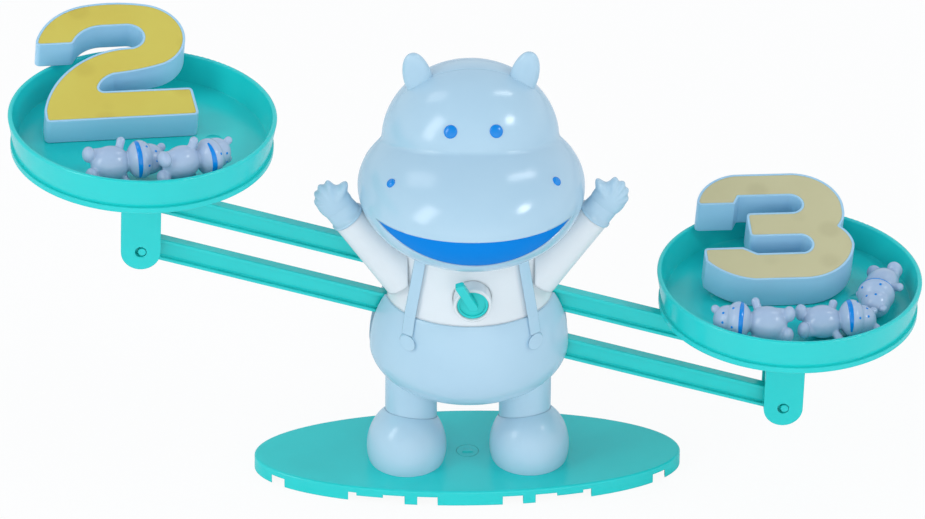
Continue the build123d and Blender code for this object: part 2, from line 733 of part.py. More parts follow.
# Pans, in a frame whose origin is on the upper pin, then leaned and put on the beam's end
pan_places = {}
for side, hand in ((-1, "left"), (1, "right")):
    pin = Vector(0, 0, pivot_height) + across * side * beam_reach - upright * beam_drop
    pan_places[hand] = Location((pin.X, 0, pin.Z), (0, pan_lean, 0))
disc_low = stem_top
dish_low = stem_top + foot_disc_thickness
for side, hand in ((-1, "left"), (1, "right")):
    with BuildPart() as dish:
        with BuildSketch(Plane.XZ):
            with BuildLine():
                Polyline((0, dish_low), (pan_base_radius, dish_low), (pan_rim_radius, dish_low + pan_height),
                         (pan_rim_radius - pan_wall, dish_low + pan_height),
                         (pan_base_radius - pan_wall, dish_low + pan_floor), (0, dish_low + pan_floor),
                         close=True)
            make_face()
        revolve(axis=Axis.Z)
        fillet(dish.edges().group_by(Axis.Z)[-1], pan_rim_round)
        with BuildSketch(Plane.XY.offset(dish_low)):
            with Locations((-pan_screw_spread, 0), (pan_screw_spread, 0)):
                Circle(screw_radius + fit_gap)
        extrude(amount=pan_floor, mode=Mode.SUBTRACT)
        with BuildSketch(Plane.XY.offset(dish_low + pan_floor)):
            with Locations((-pan_screw_spread, 0), (pan_screw_spread, 0)):
                Circle(screw_head_radius + fit_gap)
        extrude(amount=-pan_screw_sink, mode=Mode.SUBTRACT)
    save(pan_places[hand] * dish.part, f"{hand}_dish")
    with BuildPart() as stem:
        with BuildSketch(Plane.XY.offset(disc_low)):
            Circle(foot_disc_radius)
        extrude(amount=foot_disc_thickness)
        fillet(stem.edges().group_by(Axis.Z)[0], foot_disc_round)
        with BuildSketch(Plane.XY.offset(disc_low - pan_screw_boss_depth)):
            with Locations((-pan_screw_spread, 0), (pan_screw_spread, 0)):
                Circle(screw_boss_radius)
        extrude(amount=pan_screw_boss_depth)
        with BuildSketch(Plane.XZ):
            with Locations((0, (disc_low - beam_spacing) / 2)):
                Rectangle(stem_width, disc_low + beam_spacing)
            with Locations((0, -beam_spacing)):
                Circle(stem_width / 2)
        extrude(amount=stem_half_depth, both=True)
        inside = stem_half_depth - stem_plate
        with BuildSketch(Plane.XZ):
            with Locations((-side * stem_spine, -beam_spacing / 2)):
                Rectangle(stem_width, 2 * (disc_low + beam_spacing / 2))
            with Locations((0, -2 * beam_spacing)):
                Rectangle(2 * stem_width, 2 * beam_spacing)
        extrude(amount=inside, both=True, mode=Mode.SUBTRACT)
        with BuildSketch(Plane.XZ):
            Circle(upper_hole_radius)
            with Locations((0, -beam_spacing)):
                Circle(lower_hole_radius)
        extrude(amount=stem_half_depth, both=True, mode=Mode.SUBTRACT)
        with BuildSketch(Plane.XY.offset(disc_low - pan_screw_boss_depth)):
            with Locations((-pan_screw_spread, 0), (pan_screw_spread, 0)):
                Circle(screw_radius + press_gap)
        extrude(amount=pan_screw_boss_depth + foot_disc_thickness, mode=Mode.SUBTRACT)
    save(pan_places[hand] * stem.part, f"{hand}_stem")
    with BuildPart() as pan_screws:
        floor = dish_low + pan_floor - pan_screw_sink
        with BuildSketch(Plane.XY.offset(floor)):
            with Locations((-pan_screw_spread, 0), (pan_screw_spread, 0)):
                Circle(screw_head_radius)
        extrude(amount=screw_head_height / 2)
        fillet(pan_screws.edges().group_by(Axis.Z)[-1], screw_head_height / 4)
        with BuildSketch(Plane.XY.offset(floor)):
            with Locations((-pan_screw_spread, 0), (pan_screw_spread, 0)):
                Circle(screw_radius)
        extrude(amount=pan_screw_sink - pan_floor - pan_screw_length)
    save(pan_places[hand] * pan_screws.part, f"{hand}_pan_screws")

# Head
crown_place = (0, crown_back, crown_height)
muzzle_place = (0, -muzzle_forward, muzzle_height)


def muzzle_form(inset):
    """The muzzle's outer form, deeper in front than behind, or a smaller one inside it."""
    big = muzzle_front_reach + muzzle_back_reach
    ahead = box_between((-big, -muzzle_forward - big, 0), (big, -muzzle_forward, muzzle_height + big))
    behind = box_between((-big, -muzzle_forward, 0), (big, big, muzzle_height + big))
    front_egg = ellipsoid(muzzle_half_width - inset, muzzle_front_reach - inset,
                          muzzle_half_height - inset, muzzle_place)
    back_egg = ellipsoid(muzzle_half_width - inset, muzzle_back_reach - inset,
                         muzzle_half_height - inset, muzzle_place)
    return (front_egg & ahead) + (back_egg & behind)


def crown_form(inset):
    """The crown's outer form, or a smaller one inside it."""
    return ellipsoid(crown_half_width - inset, crown_half_depth - inset, crown_half_height - inset,
                     crown_place)


def spot_plane(place, half_width, half_depth, half_height, x, z):
    """The plane that touches the front of an ellipsoid at x, z, with its normal outwards."""
    across_share = (x - place[0]) / half_width
    up_share = (z - place[2]) / half_height
    ahead_share = -sqrt(1 - across_share ** 2 - up_share ** 2)
    y = place[1] + ahead_share * half_depth
    normal = (across_share / half_width, ahead_share / half_depth, up_share / half_height)
    return Plane(origin=(x, y, z), x_dir=(0, 0, 1) if x == 0 else (1, 0, 0), z_dir=normal)


def mouth_sketch_part(grow, length):
    """The mouth's outline as seen from the front, drawn out forwards from the muzzle's middle."""
    half = mouth_half_width + grow
    with BuildPart(mode=Mode.PRIVATE) as form:
        with BuildSketch(Plane.XZ.offset(muzzle_forward)):
            with BuildLine():
                ThreePointArc((-half, mouth_corner_height), (0, mouth_upper_height + grow),
                              (half, mouth_corner_height))
                ThreePointArc((half, mouth_corner_height), (0, mouth_lower_height - grow),
                              (-half, mouth_corner_height))
            make_face()
        extrude(amount=length)
    return form.part


head_outer = crown_form(0) + muzzle_form(0)
head_middle = crown_form(head_wall / 2) + muzzle_form(head_wall / 2)
head_inner = crown_form(head_wall) + muzzle_form(head_wall)
head_reach = muzzle_front_reach + muzzle_forward + overrun
head_top = crown_height + crown_half_height + overrun
head_low = muzzle_height - muzzle_half_height - overrun
head_front_half = box_between((-head_reach, -head_reach, head_low), (head_reach, crown_back, head_top))
head_back_half = box_between((-head_reach, crown_back, head_low), (head_reach, head_reach, head_top))
neck_room = shirt_form(-fit_gap, waist_height, head_floor)
floor_slab = box_between((-head_reach, -head_reach, head_floor),
                         (head_reach, head_reach, head_floor + head_wall))
head_web = floor_slab & head_middle
mouth_length = muzzle_front_reach + overrun
mouth_insert_part = (mouth_sketch_part(0, mouth_length) & muzzle_form(mouth_sink)) - muzzle_form(
    mouth_sink + mouth_depth)
mouth_pocket = mouth_sketch_part(fit_gap, mouth_length) - muzzle_form(mouth_sink + mouth_depth + fit_gap)

spots = []
for side in (-1, 1):
    eye_plane = spot_plane(crown_place, crown_half_width, crown_half_depth, crown_half_height,
                           side * eye_spread, eye_height)
    nostril_plane = spot_plane(muzzle_place, muzzle_half_width, muzzle_front_reach, muzzle_half_height,
                               side * nostril_spread, nostril_height)
    hand = "left" if side < 0 else "right"
    spots.append((f"{hand}_eye", eye_plane, eye_radius))
    spots.append((f"{hand}_nostril", nostril_plane, nostril_radius))
spot_pockets = []
for name, plane, radius in spots:
    with BuildPart() as pocket:
        with BuildSketch(plane.offset(-inlay_depth)):
            Circle(radius + press_gap)
        extrude(amount=inlay_depth + overrun)
    spot_pockets.append(pocket.part)

ear_planes = {}
for side, hand in ((-1, "left"), (1, "right")):
    ear_planes[hand] = Location((side * ear_spread, ear_back, ear_height), (0, side * ear_lean, 0))
ear_pegs = {}
ear_rooms = {}
for hand, place in ear_planes.items():
    sink = place * Pos(0, 0, -ear_peg_length / 2)
    ear_pegs[hand] = sink * Cylinder(ear_peg_radius, ear_peg_length)
    ear_rooms[hand] = sink * Cylinder(ear_peg_radius + fit_gap, ear_peg_length + 2 * fit_gap)

for facing, name, half in ((-1, "head_front", head_front_half), (1, "head_back", head_back_half)):
    with BuildPart() as head_shell:
        add(head_outer - head_inner)
        add(head_web)
        add(screw_bosses("head", head_middle, facing))
        add(half, mode=Mode.INTERSECT)
        add(neck_room, mode=Mode.SUBTRACT)
        add(spool_bore, mode=Mode.SUBTRACT)
        add(screw_holes("head", facing), mode=Mode.SUBTRACT)
        add([sleeve_form(side, fit_gap) for side in (-1, 1)], mode=Mode.SUBTRACT)
        add(list(ear_rooms.values()), mode=Mode.SUBTRACT)
        if facing < 0:
            add(mouth_pocket, mode=Mode.SUBTRACT)
            add(spot_pockets, mode=Mode.SUBTRACT)
    save(head_shell.part, name)
save(mouth_insert_part, "mouth_insert")

for hand, place in ear_planes.items():
    with BuildPart() as ear:
        add(place * ellipsoid(ear_half_width, ear_half_depth, ear_half_height, (0, 0, 0)))
        add(head_outer, mode=Mode.SUBTRACT)
        add(ear_pegs[hand])
    save(ear.part, f"{hand}_ear")

for name, plane, radius in spots:
    with BuildPart() as spot:
        with BuildSketch(plane.offset(-inlay_depth)):
            Circle(radius)
        extrude(amount=inlay_depth + inlay_rise)
        outwards = Axis((0, 0, 0), plane.z_dir)
        fillet(spot.faces().sort_by(outwards)[-1].edges(), inlay_round)
    save(spot.part, name)

# Hands
palms = {}
for side, hand in ((-1, "left"), (1, "right")):
    palms[hand] = hand_plane(side).location * ellipsoid(palm_half_width, palm_half_depth,
                                                        palm_half_length, (0, 0, palm_offset))
for side, hand in ((-1, "left"), (1, "right")):
    plane = hand_plane(side)
    with BuildPart() as hand_part:
        with BuildSketch(plane.offset(-cuff_bore_depth + fit_gap)):
            Circle(wrist_radius)
        extrude(amount=cuff_bore_depth)
        with BuildSketch(plane.offset(press_gap)):
            Circle(cuff_radius + cuff_lip)
        extrude(amount=cuff_lip_length)
        with BuildSketch(plane.offset(cuff_lip_length)):
            Circle(palm_root_radius)
        extrude(amount=palm_offset - cuff_lip_length, taper=palm_root_taper)
        add(palms[hand])
        digits = [(angle, finger_reach * share, finger_radius)
                  for angle, share in zip(finger_angles, finger_reach_shares)]
        digits.append((thumb_angle, thumb_reach, thumb_radius))
        for angle, reach_out, radius in digits:
            way = plane.x_dir * sin(radians(angle)) + plane.z_dir * cos(radians(angle))
            start = plane.origin + plane.z_dir * palm_offset
            with BuildSketch(Plane(origin=start, z_dir=way)):
                Circle(radius)
            extrude(amount=reach_out)
            with Locations(start + way * reach_out):
                Sphere(radius)
    save(hand_part.part, f"{hand}_hand")

# Braces and their buttons
proud_overalls = overalls_form(-strap_rise)
proud_shirt = shirt_form(-strap_rise - waist_step, waist_height, neck_height)
proud_skin = (proud_overalls + proud_shirt) - overalls_outer - shirt_outer
head_room = crown_form(-fit_gap) + muzzle_form(-fit_gap)
strap_half = strap_width / 2
for facing, where in ((-1, "front"), (1, "back")):
    with BuildPart() as strap:
        with BuildSketch(Plane.XZ):
            Polygon((strap_bottom_spread - strap_half, strap_bottom_height),
                    (strap_bottom_spread + strap_half, strap_bottom_height),
                    (strap_top_spread + strap_half, neck_height),
                    (strap_top_spread - strap_half, neck_height), align=None)
        extrude(amount=-facing * reach)
        add(proud_skin, mode=Mode.INTERSECT)
        add(head_room, mode=Mode.SUBTRACT)
    save(strap.part, f"right_{where}_strap")
    save(mirror(strap.part, about=Plane.YZ), f"left_{where}_strap")

with BuildPart() as strap_buttons:
    for side in (-1, 1):
        add(rod(button_radius, 0, -reach, side * strap_bottom_spread, button_height))
    add(overalls_form(-button_rise) - overalls_outer, mode=Mode.INTERSECT)
save(strap_buttons.part, "strap_buttons")

# Number weights

def two_outline():
    """The outline of a fat 2, its lower left corner at the origin."""
    def at(x_share, y_share):
        return (two_width * x_share, two_height * y_share)
    corner_shares = ((0, 0), (1, 0), (0.98, 0.235), (0.37, 0.24), (0, 0.66), (0.255, 0.66))
    with BuildSketch() as outline:
        with BuildLine():
            Polyline(at(0, 0.1), at(0, 0), at(1, 0), at(0.98, 0.235), at(0.37, 0.24))
            ThreePointArc(at(0.37, 0.24), at(0.41, 0.33), at(0.49, 0.38))
            ThreePointArc(at(0.49, 0.38), at(0.66, 0.403), at(0.82, 0.443))
            ThreePointArc(at(0.82, 0.443), at(0.94, 0.535), at(0.99, 0.66))
            ThreePointArc(at(0.99, 0.66), at(0.93, 0.865), at(0.76, 0.972))
            ThreePointArc(at(0.76, 0.972), at(0.55, 1), at(0.34, 0.985))
            ThreePointArc(at(0.34, 0.985), at(0.11, 0.86), at(0, 0.66))
            Line(at(0, 0.66), at(0.255, 0.66))
            ThreePointArc(at(0.255, 0.66), at(0.33, 0.757), at(0.45, 0.797))
            Line(at(0.45, 0.797), at(0.62, 0.797))
            ThreePointArc(at(0.62, 0.797), at(0.715, 0.71), at(0.63, 0.605))
            ThreePointArc(at(0.63, 0.605), at(0.49, 0.592), at(0.35, 0.542))
            ThreePointArc(at(0.35, 0.542), at(0.12, 0.355), at(0, 0.1))
        make_face()
        sharp = [Vector(*at(*share)) for share in corner_shares]
        fillet([corner for corner in outline.vertices()
                if min((Vector(corner) - point).length for point in sharp) < number_border], number_wall)
    return outline.sketch


def three_outline():
    """The outline of a fat 3, its lower left corner at the origin."""
    def at(x_share, y_share):
        return (three_width * x_share, three_height * y_share)
    corner_shares = ((0, 0.72), (0, 0.31), (0.32, 0.41), (0.32, 0.63))
    with BuildSketch() as outline:
        with BuildLine():
            ThreePointArc(at(0, 0.72), at(0.09, 0.905), at(0.28, 1))
            Line(at(0.28, 1), at(0.66, 1))
            ThreePointArc(at(0.66, 1), at(0.89, 0.89), at(0.973, 0.65))
            ThreePointArc(at(0.973, 0.65), at(0.963, 0.565), at(0.925, 0.49))
            ThreePointArc(at(0.925, 0.49), at(0.98, 0.41), at(1, 0.31))
            ThreePointArc(at(1, 0.31), at(0.895, 0.105), at(0.65, 0))
            Line(at(0.65, 0), at(0.31, 0))
            ThreePointArc(at(0.31, 0), at(0.13, 0.065), at(0, 0.19))
            Polyline(at(0, 0.19), at(0, 0.31), at(0.26, 0.31), at(0.35, 0.25), at(0.66, 0.25))
            ThreePointArc(at(0.66, 0.25), at(0.72, 0.33), at(0.66, 0.41))
            Polyline(at(0.66, 0.41), at(0.32, 0.41), at(0.32, 0.63), at(0.63, 0.63))
            ThreePointArc(at(0.63, 0.63), at(0.7, 0.71), at(0.63, 0.79))
            Polyline(at(0.63, 0.79), at(0.29, 0.79), at(0.255, 0.72), at(0, 0.72))
        make_face()
        sharp = [Vector(*at(*share)) for share in corner_shares]
        fillet([corner for corner in outline.vertices()
                if min((Vector(corner) - point).length for point in sharp) < number_border], number_wall)
    return outline.sketch


def rim_lean(left, ahead, turn, along):
    """How far a number leans back with its low edge on the floor. It meets the pan's rim first on a line
    square to that edge, the given length along it."""
    inner = pan_rim_radius - pan_wall
    start = Vector(-left, -ahead) + Vector(cos(radians(turn)), sin(radians(turn))) * along
    toward = start.dot(Vector(-sin(radians(turn)), cos(radians(turn))))
    return degrees(atan(pan_depth / (sqrt(toward ** 2 - start.length ** 2 + inner ** 2) - toward)))


two_along = two_width * two_rest_share
three_along = three_width * three_rest_share
numbers = (
    ("two", two_outline(), two_thickness, two_left, two_front, two_turn, two_along, "left"),
    ("three", three_outline(), three_thickness, three_left, three_front, three_turn, three_along, "right"),
)
for name, outline, thickness, left, ahead, turn, along, hand in numbers:
    lean = rim_lean(left, ahead, turn, along)
    low_corner = Location((-left, -ahead, pan_floor_height + seat_gap), (0, 0, turn))
    place = pan_places[hand] * low_corner * Rotation(lean, 0, 0)
    with BuildPart() as number_body:
        with BuildSketch():
            add(outline)
        extrude(amount=thickness)
        with BuildSketch(Plane.XY.offset(thickness)):
            offset(outline, amount=-number_border)
        extrude(amount=-number_face, mode=Mode.SUBTRACT)
        with BuildSketch(Plane.XY.offset(number_wall)):
            offset(outline, amount=-number_wall)
        extrude(amount=thickness, mode=Mode.SUBTRACT)
    save(place * number_body.part, f"number_{name}")
    with BuildPart() as number_plate:
        with BuildSketch(Plane.XY.offset(thickness - number_face)):
            offset(outline, amount=-number_border - press_gap)
        extrude(amount=number_face)
    save(place * number_plate.part, f"number_{name}_face")

# Small hippo counters, standing on the origin and facing forwards before they are laid down


def mini_parts():
    """The body of a counter and the inlay of its mouth."""
    muzzle = (0, -mini_muzzle_forward, mini_muzzle_height)
    with BuildPart() as body:
        add(ellipsoid(mini_belly_half_width, mini_belly_half_depth, mini_belly_half_height,
                      (0, 0, mini_belly_height)))
        add(ellipsoid(mini_crown_half_width, mini_crown_half_depth, mini_crown_half_height,
                      (0, 0, mini_crown_height)))
        add(ellipsoid(mini_muzzle_half_width, mini_muzzle_half_depth, mini_muzzle_half_height, muzzle))
        for side in (-1, 1):
            with Locations((side * mini_ear_spread, 0, mini_ear_height)):
                Sphere(mini_ear_radius)
            with BuildSketch(Plane.XY.offset(mini_shoe_half_height)):
                with Locations((side * mini_leg_spread, 0)):
                    Circle(mini_leg_radius)
            extrude(amount=mini_belly_height)
            add(ellipsoid(mini_shoe_half_width, mini_shoe_half_length, mini_shoe_half_height,
                          (side * mini_leg_spread, -mini_shoe_forward, mini_shoe_half_height)))
            shoulder = Vector(0, 0, mini_shoulder_height)
            hand_end = Vector(side * mini_arm_reach, 0, mini_arm_height)
            with BuildSketch(Plane(origin=shoulder, z_dir=hand_end - shoulder)):
                Circle(mini_arm_radius)
            extrude(amount=(hand_end - shoulder).length)
            with Locations(hand_end):
                Sphere(mini_hand_radius)
    big = mini_muzzle_half_width + overrun
    mouth_middle = mini_muzzle_height - mini_mouth_drop
    band = box_between((-big, -big, mouth_middle - mini_mouth_height / 2),
                       (big, -mini_muzzle_forward, mouth_middle + mini_mouth_height / 2))
    core = ellipsoid(mini_muzzle_half_width - mini_mouth_depth, mini_muzzle_half_depth - mini_mouth_depth,
                     mini_muzzle_half_height - mini_mouth_depth, muzzle)
    skin = ellipsoid(mini_muzzle_half_width, mini_muzzle_half_depth, mini_muzzle_half_height, muzzle) - core
    mouth = band & skin
    return body.part - mouth, mouth


mini_body, mini_mouth = mini_parts()
for name, (hand, x_share, y_share) in mini_place_shares.items():
    head_turn, roll = mini_turns[name]
    laid = Rotation(0, 0, head_turn) * Rotation(-90, 0, 0) * Rotation(0, 0, roll) * Pos(
        0, 0, -mini_crown_height / 2)
    low = (laid * mini_body).bounding_box().min.Z
    spot = Pos(pan_base_radius * x_share, pan_base_radius * y_share, pan_floor_height + mini_lift - low)
    place = pan_places[hand] * spot * laid
    save(place * mini_body, name)
    save(place * mini_mouth, f"{name}_mouth")
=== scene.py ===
"""A counting balance for children: a hippo figure of glossy moulded plastic on an oval base, with two
tilting beams, two round pans, two number weights and five small counters. The camera, the lamps and the
table are placed in metres, and the toy's forms are given in millimetres."""
import json
import math

import bmesh
import bpy
import numpy as np
from mathutils import Matrix, Vector


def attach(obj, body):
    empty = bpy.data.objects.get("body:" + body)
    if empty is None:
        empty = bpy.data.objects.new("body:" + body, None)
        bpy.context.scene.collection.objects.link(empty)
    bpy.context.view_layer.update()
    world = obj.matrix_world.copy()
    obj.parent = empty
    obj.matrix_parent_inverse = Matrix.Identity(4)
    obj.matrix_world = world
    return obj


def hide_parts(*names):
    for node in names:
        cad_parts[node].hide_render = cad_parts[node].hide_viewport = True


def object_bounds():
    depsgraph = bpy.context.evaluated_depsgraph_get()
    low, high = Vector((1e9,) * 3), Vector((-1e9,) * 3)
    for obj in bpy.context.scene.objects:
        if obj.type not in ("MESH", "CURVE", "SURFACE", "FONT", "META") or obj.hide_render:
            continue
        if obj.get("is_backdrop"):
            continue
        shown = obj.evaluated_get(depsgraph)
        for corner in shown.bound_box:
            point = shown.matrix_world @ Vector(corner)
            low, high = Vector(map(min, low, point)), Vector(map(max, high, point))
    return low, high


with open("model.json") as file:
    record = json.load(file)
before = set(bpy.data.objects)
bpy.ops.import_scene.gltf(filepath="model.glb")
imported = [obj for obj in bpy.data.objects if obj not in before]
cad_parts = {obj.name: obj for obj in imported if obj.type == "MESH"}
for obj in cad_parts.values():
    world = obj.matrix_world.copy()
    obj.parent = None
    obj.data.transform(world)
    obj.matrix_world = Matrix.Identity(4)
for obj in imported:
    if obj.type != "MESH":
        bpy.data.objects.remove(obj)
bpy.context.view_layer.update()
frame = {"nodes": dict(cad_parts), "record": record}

MM = 0.001

# Camera. The photograph was taken from a little above and almost straight ahead, from far off, so the
# toy shows nearly without perspective. The camera rolls by a fraction of a degree.
camera_azimuth = -2.5
camera_elevation = 30.8
camera_roll = 0.6
camera_distance = 3.3
camera_lens = 311.6
camera_sensor = 36
camera_far = 100
camera_aim = Vector((-2.9, 0, 99.6)) * MM


def camera_frame(azimuth, elevation, roll):
    """The camera's right, up and back directions: back points from the aim to the camera, right is level
    and then both turn about back by the roll."""
    a, e, r = (math.radians(angle) for angle in (azimuth, elevation, roll))
    back = Vector((math.sin(a) * math.cos(e), -math.cos(a) * math.cos(e), math.sin(e)))
    right = Vector((math.cos(a), math.sin(a), 0))
    up = back.cross(right)
    return right * math.cos(r) + up * math.sin(r), up * math.cos(r) - right * math.sin(r), back


right, up, back = camera_frame(camera_azimuth, camera_elevation, camera_roll)
camera_data = bpy.data.cameras.new("camera")
camera_data.lens = camera_lens
camera_data.sensor_width = camera_sensor
camera_data.clip_end = camera_far
camera = bpy.data.objects.new("camera", camera_data)
bpy.context.scene.collection.objects.link(camera)
turn = Matrix((right, up, back)).transposed().to_4x4()
camera.matrix_world = Matrix.Translation(camera_aim + back * camera_distance) @ turn
bpy.context.scene.camera = camera
bpy.context.scene.view_settings.view_transform = "Standard"

# Studio light. A tall window at the left, a round lamp at the right, and a strip and a soft panel behind
# show as highlights on the glossy plastic. The ceiling and the front lamp fill the shadows and stay out of
# the reflections. Each lamp has its place, its width and height in metres, and its power in watts.
lamps = {
    "window": ((-1.44, -0.77, 1.30), (0.5, 1.2), 7.5),
    "round": ((1.40, -0.50, 1.47), (0.5, 0.33), 4.5),
    "strip": ((1.00, 0.68, 1.75), (0.16, 0.7), 2.2),
    "panel": ((-1.03, 0.60, 1.77), (0.5, 0.7), 2.0),
    "ceiling": ((0.0, -0.4, 2.2), (1.8, 1.4), 2.5),
    "front": ((0.0, -2.2, 0.8), (2.2, 1.2), 11.5),
}
fill_lamps = ("ceiling", "front")
lamp_aim = Vector((0, 0, 110)) * MM
for name, (place, size, power) in lamps.items():
    lamp_data = bpy.data.lights.new(name, "AREA")
    lamp_data.shape = "ELLIPSE" if name == "round" else "RECTANGLE"
    lamp_data.size, lamp_data.size_y = size
    lamp_data.energy = power
    lamp = bpy.data.objects.new(name, lamp_data)
    bpy.context.scene.collection.objects.link(lamp)
    lamp.location = place
    lamp.rotation_euler = (lamp_aim - lamp.location).to_track_quat("-Z", "Y").to_euler()
    lamp.visible_glossy = name not in fill_lamps


def add_node(tree, kind, settings=None, **links):
    """Adds a node, sets its properties and sockets, and links sockets given as outputs of other nodes.
    Keys of settings are property names, or socket names or numbers for values. Keys of links are input
    names with _ for a space, or _ and a socket's number."""
    node = tree.nodes.new("ShaderNode" + kind)
    for key, value in (settings or {}).items():
        if isinstance(key, str) and hasattr(node, key):
            setattr(node, key, value)
        else:
            node.inputs[key].default_value = value
    for key, output in links.items():
        socket = node.inputs[int(key[1:])] if key[1:].isdigit() else node.inputs[key.replace("_", " ")]
        tree.links.new(output, socket)
    return node


def linear(hex_colour):
    """An sRGB colour written as six hex digits, turned to the linear values that shaders use."""
    values = np.array([int(hex_colour[i:i + 2], 16) for i in (0, 2, 4)]) / 255
    straight = np.where(values <= 0.04045, values / 12.92, ((values + 0.055) / 1.055) ** 2.4)
    return (*straight, 1.0)


# Room. Bright all round and dimmer above in what the plastic reflects, and plain white to the camera.
world = bpy.data.worlds.new("room")
bpy.context.scene.world = world
world.use_nodes = True
world.node_tree.nodes.clear()
room_side = linear("F6F9FC")
room_above = linear("788FA5")
room_strength = 0.97
room_dims_from, room_dims_to = 0.25, 0.95
path = add_node(world.node_tree, "LightPath")
place = add_node(world.node_tree, "TexCoord")
split = add_node(world.node_tree, "SeparateXYZ", None, Vector=place.outputs["Generated"])
height = add_node(world.node_tree, "MapRange", {1: room_dims_from, 2: room_dims_to},
                  Value=split.outputs["Z"])
tint = add_node(world.node_tree, "Mix", {"data_type": "RGBA", 6: room_side, 7: room_above},
                _0=height.outputs[0])
dim = add_node(world.node_tree, "Background", {"Strength": room_strength}, Color=tint.outputs[2])
white = add_node(world.node_tree, "Background", {"Color": linear("FFFFFF"), "Strength": 1.0})
shown = add_node(world.node_tree, "Math", {"operation": "MAXIMUM"}, _0=path.outputs["Is Camera Ray"],
                 _1=path.outputs["Is Transmission Ray"])
seen = add_node(world.node_tree, "MixShader", None, _0=shown.outputs[0], _1=dim.outputs[0],
                _2=white.outputs[0])
add_node(world.node_tree, "OutputWorld", None, Surface=seen.outputs[0])


def new_material(name):
    """An empty material with a Principled shader joined to its output, and its node tree."""
    material = bpy.data.materials.new(name)
    material.use_nodes = True
    tree = material.node_tree
    tree.nodes.clear()
    shader = add_node(tree, "BsdfPrincipled")
    add_node(tree, "OutputMaterial", None, Surface=shader.outputs[0])
    return material, tree, shader


# Table. A plain white table top a hair below the toy's base: nearly white to the camera, and it keeps the
# soft shadow under the base.
table_half = 6.0
table_rows = 9
table_drop = 0.1 * MM
table_glow = 0.93
table_mesh = bpy.data.meshes.new("table")
edge = np.linspace(-table_half, table_half, table_rows)
grid = np.array([(x, y, -table_drop) for y in edge for x in edge])
count = len(edge)
faces = [(i + j * count, i + 1 + j * count, i + 1 + (j + 1) * count, i + (j + 1) * count)
         for j in range(count - 1) for i in range(count - 1)]
table_mesh.from_pydata(grid.tolist(), [], faces)
table = bpy.data.objects.new("table", table_mesh)
bpy.context.scene.collection.objects.link(table)
card, tree, shader = new_material("white_card")
shader.inputs["Base Color"].default_value = linear("F7F8F9")
shader.inputs["Roughness"].default_value = 0.9
path = add_node(tree, "LightPath")
glow = add_node(tree, "Emission", {"Color": linear("FFFFFF"), "Strength": 1.0})
share = add_node(tree, "Math", {"operation": "MULTIPLY", 1: table_glow}, _0=path.outputs["Is Camera Ray"])
card_mix = add_node(tree, "MixShader", None, _0=share.outputs[0], _1=shader.outputs[0], _2=glow.outputs[0])
tree.links.new(card_mix.outputs[0], tree.nodes["Material Output"].inputs["Surface"])
table_mesh.materials.append(card)
table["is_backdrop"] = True


blotch_core, blotch_rim = 0.18, 0.36
blotch_value = 0.9
polish_below, polish_above = 0.03, 0.05
ripple_height = 0.4 * MM
plastic_ior = 1.54


def moulded(name, colour, deep, roughness=0.2, grain=0.02, edge=0.35, marks=0.0, gloss=0.5):
    """Moulded plastic. Its colour drifts slightly towards the deep shade, as pigment does in a moulding, a
    faint ripple and a fine grain of the mould's polish break up its reflections, and edges within the given
    millimetres look rounded. Marks is the strength of the faint blotches on a printed face, and gloss is
    the shader's specular level."""
    material, tree, shader = new_material(name)
    place = add_node(tree, "TexCoord")
    drift = add_node(tree, "TexNoise", {"Scale": 35.0, "Detail": 3.0, "Roughness": 0.55},
                     Vector=place.outputs["Object"])
    blend = add_node(tree, "Mix", {"data_type": "RGBA", 6: linear(colour), 7: linear(deep)},
                     _0=drift.outputs["Fac"])
    spots = add_node(tree, "TexVoronoi", {"Scale": 62.0, "Randomness": 0.9}, Vector=place.outputs["Object"])
    soft = add_node(tree, "MapRange", {1: blotch_core, 2: blotch_rim, 3: marks, 4: 0.0},
                    Value=spots.outputs["Distance"])
    worn = add_node(tree, "Mix", {"data_type": "RGBA", 7: linear(deep)}, _0=soft.outputs[0],
                    _6=blend.outputs[2])
    dark = add_node(tree, "HueSaturation", {"Value": blotch_value}, Color=worn.outputs[2],
                    Fac=soft.outputs[0])
    tree.links.new(dark.outputs[0], shader.inputs["Base Color"])
    polish = add_node(tree, "TexNoise", {"Scale": 420.0, "Detail": 2.0}, Vector=place.outputs["Object"])
    rough = add_node(tree, "MapRange", {3: roughness - polish_below, 4: roughness + polish_above},
                     Value=polish.outputs["Fac"])
    tree.links.new(rough.outputs[0], shader.inputs["Roughness"])
    rounded = add_node(tree, "Bevel", {"samples": 4, "Radius": edge * MM})
    ripple = add_node(tree, "TexNoise", {"Scale": 55.0, "Detail": 2.0}, Vector=place.outputs["Object"])
    bump = add_node(tree, "Bump", {"Strength": grain, "Distance": ripple_height},
                    Height=ripple.outputs["Fac"], Normal=rounded.outputs[0])
    tree.links.new(bump.outputs[0], shader.inputs["Normal"])
    shader.inputs["IOR"].default_value = plastic_ior
    shader.inputs["Specular IOR Level"].default_value = gloss
    return material


def dress(material, *names):
    """Gives carried-over CAD nodes a material in their one slot."""
    for name in names:
        mesh = frame["nodes"][name].data
        mesh.materials.clear()
        mesh.materials.append(material)


